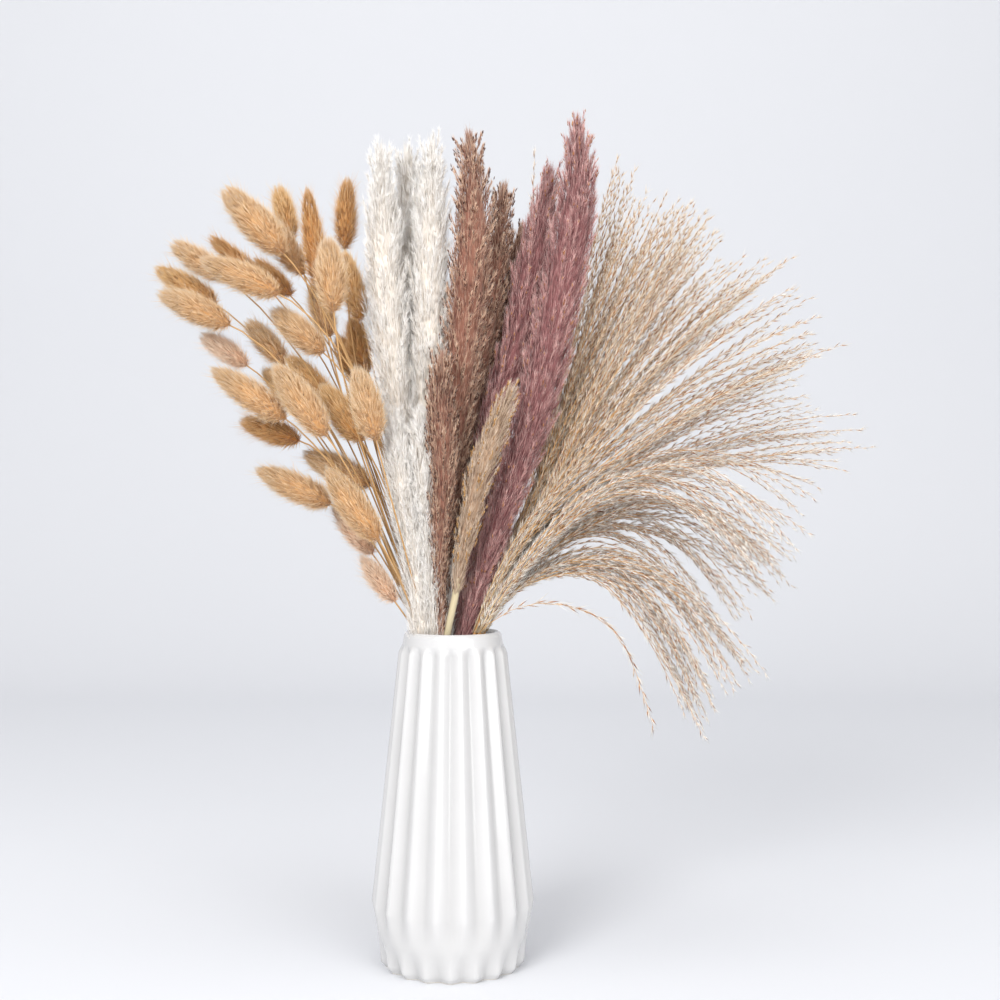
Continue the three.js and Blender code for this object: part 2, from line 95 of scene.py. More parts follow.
def linear(colour):
    """A #rrggbb colour as linear red, green and blue."""
    parts = [int(colour[i:i + 2], 16) / 255 for i in (1, 3, 5)]
    return tuple(c / 12.92 if c <= 0.04045 else ((c + 0.055) / 1.055) ** 2.4 for c in parts)


class VaseSettings(bpy.types.PropertyGroup):
    columns_per_pleat: count_value("Columns per pleat", "Mesh columns round each pleat", 10)
    rings_per_step: count_value("Rings per step", "Mesh rings between two rings of the frame", 8)
    crispness: share_value("Crispness", "How sharp the ridges are, 1 is a knife edge", 0.97)
    glaze: tint_value("Glaze", "Colour of the glaze", "#d5d4d3")
    # painted shade: the darker colour laid in the valleys of the pleats
    valley_shade: tint_value("Valley shade", "Painted shade in the valleys of the pleats", "#c0bfbe")
    clay: tint_value("Clay", "Colour of the unglazed foot", "#e2dccf")


class BunnyTailSettings(bpy.types.PropertyGroup):
    hairs: count_value("Hairs", "Fur hairs on a tail of average size", 2100)
    hair_length: length_value("Hair length", "Length of the fur", 7.6 * MM)
    hair_width: length_value("Hair width", "Thickness of one hair at its root", 0.27 * MM)
    awns: count_value("Awns", "Long bristles that stand out of the fur", 300)
    awn_length: length_value("Awn length", "Length of the bristles", 13.5 * MM)
    lean: share_value("Lean", "How far the fur stands off, in radians", 0.56)


def plume_settings(name, down, branches, barbs, branch, barb, width, fluff, flare, core):
    """A property group for the plumes of one colour. branch, barb and width are in millimetres."""
    return type(name, (bpy.types.PropertyGroup,), {"__annotations__": {
        "down": count_value("Down", "Hairs along the closed middle of a full-sized plume", down),
        "branches": count_value("Branchlets", "Branchlets on a full-sized plume", branches),
        "barbs": count_value("Barbs", "Silky hairs on each branchlet", barbs),
        "branch_length": length_value("Branchlet length", "Length of the longest branchlets",
                                      branch * MM),
        "barb_length": length_value("Barb length", "Length of the silky hairs", barb * MM),
        "barb_width": length_value("Barb width", "Thickness of one silky hair", width * MM),
        "fluff": share_value("Fluff", "How far the silky hairs stand off their branchlet, in radians",
                             fluff),
        "flare": share_value("Flare", "Reach of the tips, as a share of the packed stalk's radius",
                             flare),
        "core": share_value("Core", "Closed middle, as a share of the reach of the tips", core),
    }})


WhitePlumeSettings = plume_settings(
    "WhitePlumeSettings", down=8000, branches=260, barbs=44, branch=36, barb=9.5, width=0.32,
    fluff=0.4, flare=1.95, core=0.5)
BrownPlumeSettings = plume_settings(
    "BrownPlumeSettings", down=7000, branches=420, barbs=30, branch=24, barb=6.5, width=0.34,
    fluff=0.3, flare=1.95, core=0.55)
MauvePlumeSettings = plume_settings(
    "MauvePlumeSettings", down=9000, branches=300, barbs=44, branch=34, barb=8.5, width=0.32,
    fluff=0.28, flare=1.9, core=0.58)
BeigePlumeSettings = plume_settings(
    "BeigePlumeSettings", down=5000, branches=240, barbs=22, branch=28, barb=8, width=0.28,
    fluff=0.2, flare=1.6, core=0.5)


class SpraySettings(bpy.types.PropertyGroup):
    gap: length_value("Gap", "Distance between two racemes half way to their tips", 3 * MM)
    spacing: length_value("Spacing", "Distance between two spikelets on a raceme", 4 * MM)
    spikelet_length: length_value("Spikelet length", "Length of a spikelet", 5 * MM)
    spikelet_width: length_value("Spikelet width", "Thickness of a spikelet", 0.64 * MM)
    axis_width: length_value("Axis width", "Thickness of a raceme's axis", 0.5 * MM)
    hairs: count_value("Hairs", "Silky hairs round each spikelet", 7)
    hair_length: length_value("Hair length", "Length of the silky hairs", 7.4 * MM)
    hair_width: length_value("Hair width", "Thickness of one silky hair", 0.3 * MM)


class StageSettings(bpy.types.PropertyGroup):
    lens: FloatProperty(name="Lens", description="Focal length in millimetres", default=52.8)
    distance: length_value("Distance", "From the vase's axis to the camera", 0.84)
    height: length_value("Height", "Height of the camera above the floor", 0.265)
    aside: length_value("Aside", "Camera to the right of the vase's axis", 0.027)
    paper: tint_value("Paper", "Colour of the floor and the backdrop", "#e2e3e6")


class GrassBunchSettings(bpy.types.PropertyGroup):
    vase: PointerProperty(type=VaseSettings)
    bunny_tails: PointerProperty(type=BunnyTailSettings)
    white_plumes: PointerProperty(type=WhitePlumeSettings)
    brown_plumes: PointerProperty(type=BrownPlumeSettings)
    mauve_plumes: PointerProperty(type=MauvePlumeSettings)
    beige_plume: PointerProperty(type=BeigePlumeSettings)
    sprays: PointerProperty(type=SpraySettings)
    stage: PointerProperty(type=StageSettings)


# ---------------- shader maths


class Sock:
    """One output of a node. Python's operators on it add Math nodes."""

    def __init__(self, shader, out):
        self.shader = shader
        self.out = out

    def maths(self, operation, *values):
        return self.shader.node("ShaderNodeMath", {"operation": operation}, *values).out()

    def __add__(self, other):
        return self.maths("ADD", self, other)

    def __sub__(self, other):
        return self.maths("SUBTRACT", self, other)

    def __rsub__(self, other):
        return self.maths("SUBTRACT", other, self)

    def __mul__(self, other):
        return self.maths("MULTIPLY", self, other)

    __rmul__ = __mul__

    def __gt__(self, other):
        return self.maths("GREATER_THAN", self, other)

    def limited(self):
        """The value between 0 and 1."""
        return self.maths("MINIMUM", self.maths("MAXIMUM", self, 0.0), 1.0)


class Made:
    """A node that was just added."""

    def __init__(self, shader, node):
        self.shader = shader
        self.node = node

    def out(self, name=0):
        return Sock(self.shader, self.node.outputs[name])


# a colour Mix node has its sockets for colours at these places
MIX_FACTOR, MIX_FIRST, MIX_SECOND, MIX_RESULT = 0, 6, 7, 2


class Shader:
    """A new material's tree, with one Principled shader."""

    def __init__(self, name):
        self.material = bpy.data.materials.new(name)
        self.material.use_nodes = True
        self.tree = self.material.node_tree
        self.surface = self.tree.nodes["Principled BSDF"]

    def node(self, kind, settings=None, *values, **named):
        """Adds a node. Its settings go first, a ramp's stops among them, and then its inputs."""
        node = self.tree.nodes.new(kind)
        for key, value in (settings or {}).items():
            if key == "stops":
                self.set_stops(node.color_ramp, value)
            else:
                setattr(node, key, value)
        for key, value in [*enumerate(values), *named.items()]:
            self.put(node.inputs[key], value)
        return Made(self, node)

    def set_stops(self, ramp, stops):
        while len(ramp.elements) < len(stops):
            ramp.elements.new(1.0)
        for element, (position, colour) in zip(ramp.elements, stops):
            element.position = position
            element.color = (*colour, 1.0)

    def put(self, socket, value):
        if isinstance(value, Sock):
            self.tree.links.new(value.out, socket)
        else:
            socket.default_value = value

    def mix(self, factor, first, second):
        """A colour between two, which are links or linear colours."""
        made = self.node("ShaderNodeMix", {"data_type": "RGBA"})
        self.put(made.node.inputs[MIX_FACTOR], factor)
        for place, colour in ((MIX_FIRST, first), (MIX_SECOND, second)):
            self.put(made.node.inputs[place], colour if isinstance(colour, Sock) else (*colour, 1.0))
        return made.out(MIX_RESULT)

    def surface_takes(self, **sockets):
        """Puts values or links on the shader; an underscore in a name stands for a space."""
        for name, value in sockets.items():
            self.put(self.surface.inputs[name.replace("_", " ")], value)
        return self.material


def grass_finish(name, kinds):
    """Colour along each hair by its map's u. Its v holds one band for each kind of growth, and inside a
    band it goes from the kind's dark colours to its light ones. A copy's place in that band is partly
    painted shade, darker deep in a head or plume and round one side of a stem, and partly random tone.

    kinds is a list of (dark stops, light stops), each a list of (share of length, colour)."""
    shader = Shader(name)
    place = shader.node("ShaderNodeUVMap", {"uv_map": HAIR_MAP}).out()
    parts = shader.node("ShaderNodeSeparateXYZ", None, place)
    along = parts.out("X")
    band = parts.out("Y") * len(kinds)
    colour = None
    for index, (dark, light) in enumerate(kinds):
        ends = [shader.node("ShaderNodeValToRGB", {"stops": [(s, linear(c)) for s, c in stops]}, along)
                for stops in (dark, light)]
        own = shader.mix((band - index).limited(), ends[0].out(), ends[1].out())
        colour = own if colour is None else shader.mix(band > index, colour, own)
    return shader.surface_takes(Base_Color=colour, Roughness=0.72, Sheen_Weight=0.25,
                                Sheen_Roughness=0.5, Specular_IOR_Level=0.25)


# ---------------- threads from the frame


SAME_PLACE = 1e-6  # vertices closer than this are one
FEWEST_RINGS = 3  # a pole with fewer rings round it is no end of a tube


def merged(node):
    """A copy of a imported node's mesh with its doubles merged."""
    bm = bmesh.new()
    bm.from_mesh(frame["nodes"][node].data)
    bmesh.ops.remove_doubles(bm, verts=bm.verts, dist=SAME_PLACE)
    return bm


def rings_from(pole, size):
    """The rings of vertices outwards from a pole, for as long as each has size corners, and the
    vertices that come after them."""
    rings = []
    seen = {pole}
    ring = {pole}
    while True:
        ring = {e.other_vert(v) for v in ring for e in v.link_edges} - seen
        if len(ring) == size:
            rings.append(ring)
            seen |= ring
        else:
            return rings, ring


def poles(bm, size):
    """The middles of a tube's closed ends, lowest first, each with its rings and what follows."""
    found = []
    for v in bm.verts:
        if len(v.link_edges) == size:
            rings, rest = rings_from(v, size)
            if len(rings) >= FEWEST_RINGS:
                found.append((v, rings, rest))
    return sorted(found, key=lambda item: item[0].co.z)


def middle_of(ring):
    """A ring's middle and its mean radius."""
    centre = sum((v.co for v in ring), Vector()) / len(ring)
    return (*centre, sum((v.co - centre).length for v in ring) / len(ring))


class Path:
    """A smooth line through rings given as (x, y, z, radius), read by share of its length."""

    def __init__(self, rings, steps=10):
        given = np.array(rings, float)
        chord = np.concatenate([[0], np.cumsum(np.linalg.norm(np.diff(given[:, :3], axis=0), axis=1))])
        slope = np.gradient(given, chord, axis=0)
        fine = np.interp(np.linspace(0, len(given) - 1, steps * (len(given) - 1) + 1),
                         np.arange(len(given)), chord)
        i = np.clip(np.searchsorted(chord, fine, side="right") - 1, 0, len(given) - 2)
        gap = (chord[i + 1] - chord[i])[:, None]
        t = (fine[:, None] - chord[i][:, None]) / gap
        smooth = ((2 * t**3 - 3 * t**2 + 1) * given[i] + (t**3 - 2 * t**2 + t) * gap * slope[i]
                  + (3 * t**2 - 2 * t**3) * given[i + 1] + (t**3 - t**2) * gap * slope[i + 1])
        self.line = smooth[:, :3]
        self.radii = np.maximum(smooth[:, 3], 0)
        lengths = np.concatenate([[0], np.cumsum(np.linalg.norm(np.diff(self.line, axis=0), axis=1))])
        self.length = lengths[-1]
        self.shares = lengths / self.length
        self.marks = self.shares[::steps]
        self.tangents = unit(np.gradient(self.line, lengths, axis=0))
        self.sides = self.carried_side()

    def carried_side(self):
        """A direction across the line at each point, carried along without twist."""
        side = np.cross(self.tangents[0], (0.0, 1.0, 0.0))
        sides = []
        for tangent in self.tangents:
            side = side - tangent * side.dot(tangent)
            side = side / np.linalg.norm(side)
            sides.append(side)
        return np.array(sides)

    def read(self, values, shares):
        if values.ndim == 1:
            return np.interp(shares, self.shares, values)
        return np.stack([np.interp(shares, self.shares, values[:, k]) for k in range(3)], axis=-1)

    def at(self, shares):
        return self.read(self.line, shares)

    def radius(self, shares):
        return self.read(self.radii, shares)

    def frames(self, shares):
        """The line's direction at each share, and two directions across it."""
        along = unit(self.read(self.tangents, shares))
        side = square_to(along, self.read(self.sides, shares))
        return along, side, np.cross(along, side)

    def outward(self, shares, turns):
        """The line's direction, and the direction out from it at each turn."""
        along, side, other = self.frames(shares)
        return along, side * np.cos(turns)[..., None] + other * np.sin(turns)[..., None]


def unit(vectors):
    return vectors / np.maximum(np.linalg.norm(vectors, axis=-1, keepdims=True), 1e-12)


def square_to(along, vectors):
    """Directions square to others: what is left of the vectors without their part along those."""
    return unit(vectors - along * (vectors * along).sum(-1, keepdims=True))


def leaning(along, out, lean, length, waver=0.0):
    """Vectors of the given lengths that run along one direction and lean out to another."""
    return (along * np.cos(lean)[:, None] + out * np.sin(lean)[:, None] + waver) * length[:, None]


def thread(node, sides):
    """The path of a stalk that is one tube: its rings from the cut end, then its tip."""
    bm = merged(node)
    _, rings, rest = poles(bm, sides)[0]
    tip = next(iter(rest))
    path = Path([middle_of(ring) for ring in rings] + [(*tip.co, 0.0)])
    bm.free()
    return path


def panicle_threads(node):
    """A panicle's stem up to its forks, and the racemes that leave it, as lists of rings."""
    bm = merged(node)
    bottom, *ends = poles(bm, STEM_SIDES)
    stem = [middle_of(ring) for ring in bottom[1]]
    racemes = []
    for pole, rings, _ in ends + poles(bm, RACEME_SIDES):
        inward = [(*pole.co, 0.0)] + [middle_of(ring) for ring in rings]
        racemes.append(stem[1:] + inward[::-1])
    bm.free()
    fork = Vector(stem[-1][:3])
    racemes.sort(key=lambda rings: -math.atan2(rings[-1][2] - fork.z, rings[-1][0] - fork.x))
    return stem, racemes


# ---------------- growth


class Shape:
    """A small closed shape along +Z from 0 to 1, as arrays that can be copied many times."""

    def __init__(self, sides, cuts, foot=1.0, tip=0.0, swell=()):
        """cuts are heights of rings between the ends; swell is their radii where they differ."""
        bm = bmesh.new()
        bmesh.ops.create_cone(bm, cap_ends=True, cap_tris=tip > 0, segments=sides, radius1=foot,
                              radius2=tip, depth=1.0)
        bmesh.ops.translate(bm, verts=bm.verts, vec=(0, 0, 0.5))
        for height in cuts:
            bmesh.ops.bisect_plane(bm, geom=[*bm.verts, *bm.edges, *bm.faces],
                                   plane_co=(0, 0, height), plane_no=(0, 0, 1))
        for height, radius in zip(cuts, swell):
            for v in bm.verts:
                if abs(v.co.z - height) < 1e-5:
                    v.co.xy = v.co.xy.normalized() * radius
        bmesh.ops.triangulate(bm, faces=bm.faces)
        bmesh.ops.recalc_face_normals(bm, faces=bm.faces)
        bm.verts.index_update()
        self.co = np.array([v.co for v in bm.verts])
        self.faces = np.array([[v.index for v in f.verts] for f in bm.faces])
        bm.free()
        turn = np.arctan2(self.co[:, 1], self.co[:, 0]) / FULL_TURN % 1.0
        steps = np.round(turn * sides + 0.001) % sides
        on_axis = np.hypot(self.co[:, 0], self.co[:, 1]) < 1e-6
        self.side = np.where(on_axis, 0.5, steps / (sides - 1))


HAIR_SPREAD = 0.12  # the part of a kind's shades that lies across one hair


class Growth:
    """Gathers the copies of shapes that make one piece, and their places on the hair map."""

    def __init__(self, kinds):
        self.kinds = kinds
        self.places = []
        self.faces = []
        self.maps = []
        self.count = 0

    def keep(self, shape, places, kind, shade, width, tone=(0.0, 1.0)):
        """places is copies by vertices by 3. shade is each copy's, from 0, dark, to 1, light; it
        carries painted shade as well as random tone.
        tone is the part of the kind's colours, root to tip, that the shape runs through."""
        copies, corners = places.shape[:2]
        start = self.count + corners * np.arange(copies)[:, None, None]
        across = np.clip(shade[:, None] * (1 - width) + width * shape.side, 0.02, 0.98)
        # a foot's corners are a little apart on the map, so that its face has an area there
        along = np.clip(0.01 + 0.97 * shape.co[:, 2] + 0.02 * shape.side, 0, 1)
        along = tone[0] + (tone[1] - tone[0]) * along
        self.places.append(places.reshape(-1, 3))
        self.faces.append((start + shape.faces).reshape(-1, 3))
        self.maps.append(np.stack([np.broadcast_to(along, across.shape),
                                   (kind + across) / self.kinds], axis=-1).reshape(-1, 2))
        self.count += copies * corners

    def add(self, shape, origin, run, bend, width, kind, shade):
        """Copies that start at origin, run along a vector and bend away by another one."""
        along = unit(run)
        bend = np.broadcast_to(bend, run.shape)
        helper = np.where(np.abs(along[:, 1:2]) < 0.9, (0.0, 1.0, 0.0), (1.0, 0.0, 0.0))
        side = unit(np.cross(helper, along))
        other = np.cross(along, side)
        x, y, z = (shape.co[None, :, k, None] for k in range(3))
        places = (origin[:, None] + run[:, None] * z + bend[:, None] * z**2
                  + np.broadcast_to(width, len(origin))[:, None, None] / 2
                  * (side[:, None] * x + other[:, None] * y))
        shade = np.clip(np.broadcast_to(shade, len(origin)), 0, 1)
        self.keep(shape, places, kind, shade, HAIR_SPREAD)

    def rod(self, shape, path, start, end, radius_at, kind, shade, side_shade=0.7, tone=(0.0, 1.0)):
        """One shape bent round a path, as thick as radius_at says at each share of the path. Round its
        sides its colour runs from darker to lighter over the share given after shade, which paints one
        side shaded and the other lit.
        """
        shares = start + (end - start) * shape.co[:, 2]
        along, side, other = path.frames(shares)
        radius = radius_at(shares)[:, None]
        places = path.at(shares) + radius * (side * shape.co[:, :1] + other * shape.co[:, 1:2])
        self.keep(shape, places[None], kind, np.array([shade]), side_shade, tone)

    def piece(self, name, nodes, finish, slot):
        """The finished mesh object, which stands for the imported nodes."""
        places = np.concatenate(self.places).astype(np.float32)
        faces = np.concatenate(self.faces).astype(np.int32)
        maps = np.concatenate(self.maps).astype(np.float32)
        mesh = bpy.data.meshes.new(name)
        mesh.vertices.add(len(places))
        mesh.vertices.foreach_set("co", places.ravel())
        mesh.loops.add(faces.size)
        mesh.loops.foreach_set("vertex_index", faces.ravel())
        mesh.polygons.add(len(faces))
        mesh.polygons.foreach_set("loop_start", 3 * np.arange(len(faces), dtype=np.int32))
        mesh.polygons.foreach_set("use_smooth", np.ones(len(faces), bool))
        mesh.update(calc_edges=True)
        mesh.uv_layers.new(name=HAIR_MAP).data.foreach_set("uv", maps[faces.ravel()].ravel())
        return installed(name, mesh, nodes, finish)


def placed(name, data):
    """A new object in the scene."""
    thing = bpy.data.objects.new(name, data)
    bpy.context.scene.collection.objects.link(thing)
    return thing


def installed(name, mesh, nodes, finish):
    """Links a finished mesh, gives it its finish and ties it to the frame."""
    mesh.materials.append(finish)
    piece = placed(name, mesh)
    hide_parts(*nodes)
    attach(piece, "root")
    return piece


def dice_for(name):
    """A random source that is always the same for the same piece."""
    return np.random.default_rng(zlib.crc32(name.encode()))


def random_units(dice, count):
    return unit(dice.normal(size=(count, 3)))


def straight_hair():
    return Shape(3, ())


def branch_axis():
    return Shape(3, (0.3, 0.6), swell=(0.8, 0.55))


def seed_shape():
    return Shape(3, (0.35,), foot=0.4, swell=(1.0,))


def tube_shape(rings, sides=8):
    """A tube with closed ends, whose thickness comes from the path it is bent round."""
    return Shape(sides, [k / rings for k in range(1, rings)], tip=1.0)


def slot_of(node):
    """The record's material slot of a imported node."""
    return next(p["material_slot"] for p in frame["record"]["subparts"] if p["node"] == node)


def nodes_named(start):
    return sorted(n for n in frame["nodes"] if n.startswith(start))


def shades(dark, light, middle=0.4):
    """A kind's dark colours and its light ones, each as stops from the root of a hair to its tip.
    Of three colours the second one is at the middle share."""
    shares = {2: (0.0, 1.0), 3: (0.0, middle, 1.0)}
    return [list(zip(shares[len(colours)], colours)) for colours in (dark.split(), light.split())]


# ---------------- bunny tails

TAIL_STEM = shades("#8c6a3e #9c7040 #a97a48", "#cdb07a #d3ac72 #dcb884", 0.5)
TAIL_FUR = {
    "light_tail": shades("#ba8550 #d8a76e #ebc898", "#dcae78 #efcda0 #fdeed6", 0.45),
    "golden_tail": shades("#b4793c #d49c58 #e8bd80", "#d8a565 #eec58a #fde8c2", 0.45),
    "brown_tail": shades("#a2662f #c28646 #d8a362", "#c98f52 #e0ae70 #f5d3a0", 0.45),
    "pinkish_tail": shades("#cc9a74 #e6ba94 #f4d4b4", "#e8c09e #f8dcc0 #fff4e6", 0.45),
}
TAIL_SEED = shades("#6b4424 #8b5c33", "#a97a4a #d8b285")
TAIL_KINDS = {"stem": 0, "fur": 1, "seed": 2}


# a packed tail's rings: one on its bare stem, and the one where its head starts
TAIL_STEM_RING, HEAD_RING = 2, 5
HEAD_CORE_END = 0.985  # where the closed middle of a head ends, as a share of the stalk
AVERAGE_HEAD = 7 * MM  # radius of a tail of average size
FUR_ROOTS = (0.55, 0.95)  # depths at which the fur is rooted, as shares of the head's radius
FUR_WAVER = 0.1
SEEDS_IN_FUR = 34


def bunny_tail(node, settings, finish):
    """A soft oval head of silky hairs combed towards its tip, on a wiry stem."""
    dice = dice_for(node)
    path = thread(node, TAIL_SIDES)
    head = path.marks[HEAD_RING]
    growth = Growth(len(TAIL_KINDS))
    stem = path.radius(path.marks[TAIL_STEM_RING])
    growth.rod(tube_shape(24, 6), path, 0.0, head + 0.02,
               lambda s: np.interp(s, [0, head], [stem, 0.8 * stem]), TAIL_KINDS["stem"], 0.3)
    size = path.radii.max()
    taper = 0.2 * (1 - head)
    # painted shade: a closed middle in the darkest root colours of the fur, dark in the heart of the
    # head
    growth.rod(tube_shape(14, 10), path, head, HEAD_CORE_END,
               lambda s: 0.8 * path.radius(s) * np.minimum(1, (HEAD_CORE_END - s) / taper),
               TAIL_KINDS["fur"], 0.1, side_shade=0.3, tone=(0.0, 0.3))

    def rooted(count, low=0.0, high=1.0):
        """Places on the head, more where it is wider, with their directions."""
        tries = head + (0.99 - head) * dice.uniform(low, high, 6 * count)
        tries = tries[dice.uniform(0, size, len(tries)) < path.radius(tries) + 0.3 * size][:count]
        turns = dice.uniform(0, FULL_TURN, len(tries))
        along, out = path.outward(tries, turns)
        return tries, along, out, path.at(tries)

    shares, along, out, centre = rooted(int(settings.hairs * (size / AVERAGE_HEAD) ** 1.3))
    depth = dice.uniform(*FUR_ROOTS, len(shares))
    upper = (shares - head) / (1 - head)
    lean = settings.lean * dice.normal(1.0, 0.22, len(shares))
    lean *= np.interp(upper, [0, 0.12, 0.3, 0.6, 1], [2.9, 2.1, 1.2, 0.75, -0.6])
    length = settings.hair_length * dice.uniform(0.75, 1.15, len(shares))
    length *= np.interp(upper, [0, 0.2, 0.5, 1], [0.7, 0.8, 1, 0.7])
    waver = random_units(dice, len(shares)) * FUR_WAVER
    run = unit(along * np.cos(lean)[:, None] + out * np.sin(lean)[:, None] + waver) * length[:, None]
    bend = (along - out * 0.5) * (0.12 * length)[:, None]
    # painted shade: hairs rooted deeper in the head get darker colours, with random tone on top
    shade = np.interp(depth, FUR_ROOTS, [0.25, 0.9]) + dice.normal(0, 0.2, len(shares))
    growth.add(straight_hair(), centre + out * (depth * path.radius(shares))[:, None], run, bend,
               settings.hair_width * dice.uniform(0.8, 1.2, len(shares)), TAIL_KINDS["fur"], shade)

    shares, along, out, centre = rooted(settings.awns, 0.05, 0.98)
    upper = (shares - head) / (1 - head)
    lean = dice.uniform(0.3, 1.0, len(shares)) * np.interp(upper, [0, 0.7, 1], [1.15, 0.9, 0.35])
    length = settings.awn_length * dice.uniform(0.5, 1.0, len(shares))
    growth.add(straight_hair(), centre + out * (0.7 * path.radius(shares))[:, None],
               leaning(along, out, lean, length), 0.0,
               0.7 * settings.hair_width, TAIL_KINDS["fur"], dice.uniform(0.3, 1, len(shares)))

    shares, along, out, centre = rooted(SEEDS_IN_FUR, 0.12, 0.8)
    run = (along * 0.9 + out * 0.35) * (2.4 * MM)
    growth.add(seed_shape(), centre + out * (0.86 * path.radius(shares))[:, None], run, 0.0,
               0.5 * MM, TAIL_KINDS["seed"], dice.uniform(0, 1, len(shares)))
    return growth.piece(node + "_fur", [node], finish, slot_of(node))


# ---------------- plumes

PLUME_KINDS = {"stem": 0, "barb": 1, "seed": 2}

# each plume's stem, barbs and seeds
PLUME_COLOURS = {
    "white_plume": [
        shades("#b9a982 #d8cdb4", "#dcd3b4 #efe8d8"),
        shades("#f0e4d4 #f8f0e6 #fdf8f2", "#fbf6ef #fffbf6 #fffffd"),
        shades("#c3a98c #dcc9b2", "#d8c2a6 #eee0cc"),
    ],
    "brown_plume": [
        shades("#7c5a3a #8a5c46", "#b4935f #b98868"),
        shades("#6e3c30 #905a4a #b08068", "#bc8a70 #dfb698 #fdeacf"),
        shades("#2c1410 #48281c", "#5c3424 #8a5a3c"),
    ],
    "mauve_plume": [
        shades("#7a5648 #7a5052", "#b3906a #a87c7c"),
        shades("#68383a #8e5656 #ae7674", "#b27a78 #d8a09a #fbe0d6"),
        shades("#7a4228 #a8683c", "#b87844 #dca874"),
    ],
    "beige_plume": [
        shades("#c6c8ac #b79a6c", "#eceede #dcc79a"),
        shades("#a07c60 #c0a082 #d8bda2", "#d0b294 #e8d0b6 #fcf0e0"),
        shades("#7c4f26 #a06f38", "#b98546 #e0b777"),
    ],
}


# a packed plume's rings: the one in the vase's mouth, and the one where its feathering starts
MOUTH_RING, FEATHER_RING = 1, 2
BELOW_MOUTH = 9 * MM  # the feathers of a full foot start this far down the mouth
FULL_LENGTH = 0.28  # length in metres of the feathering of a full-sized plume
PLUME_CORE_END = 0.97  # where the closed middle of a plume ends, as a share of its stalk
TAPER = 0.08  # the share of the stalk over which the middle closes below its tip
DOWN_DEPTH = (0.75, 1.35)  # where the down is rooted, as shares of the closed middle's radius
HIGHEST_BRANCH = 0.96
END_AT = 0.93  # a branchlet's reach up the stalk, as a share of its length


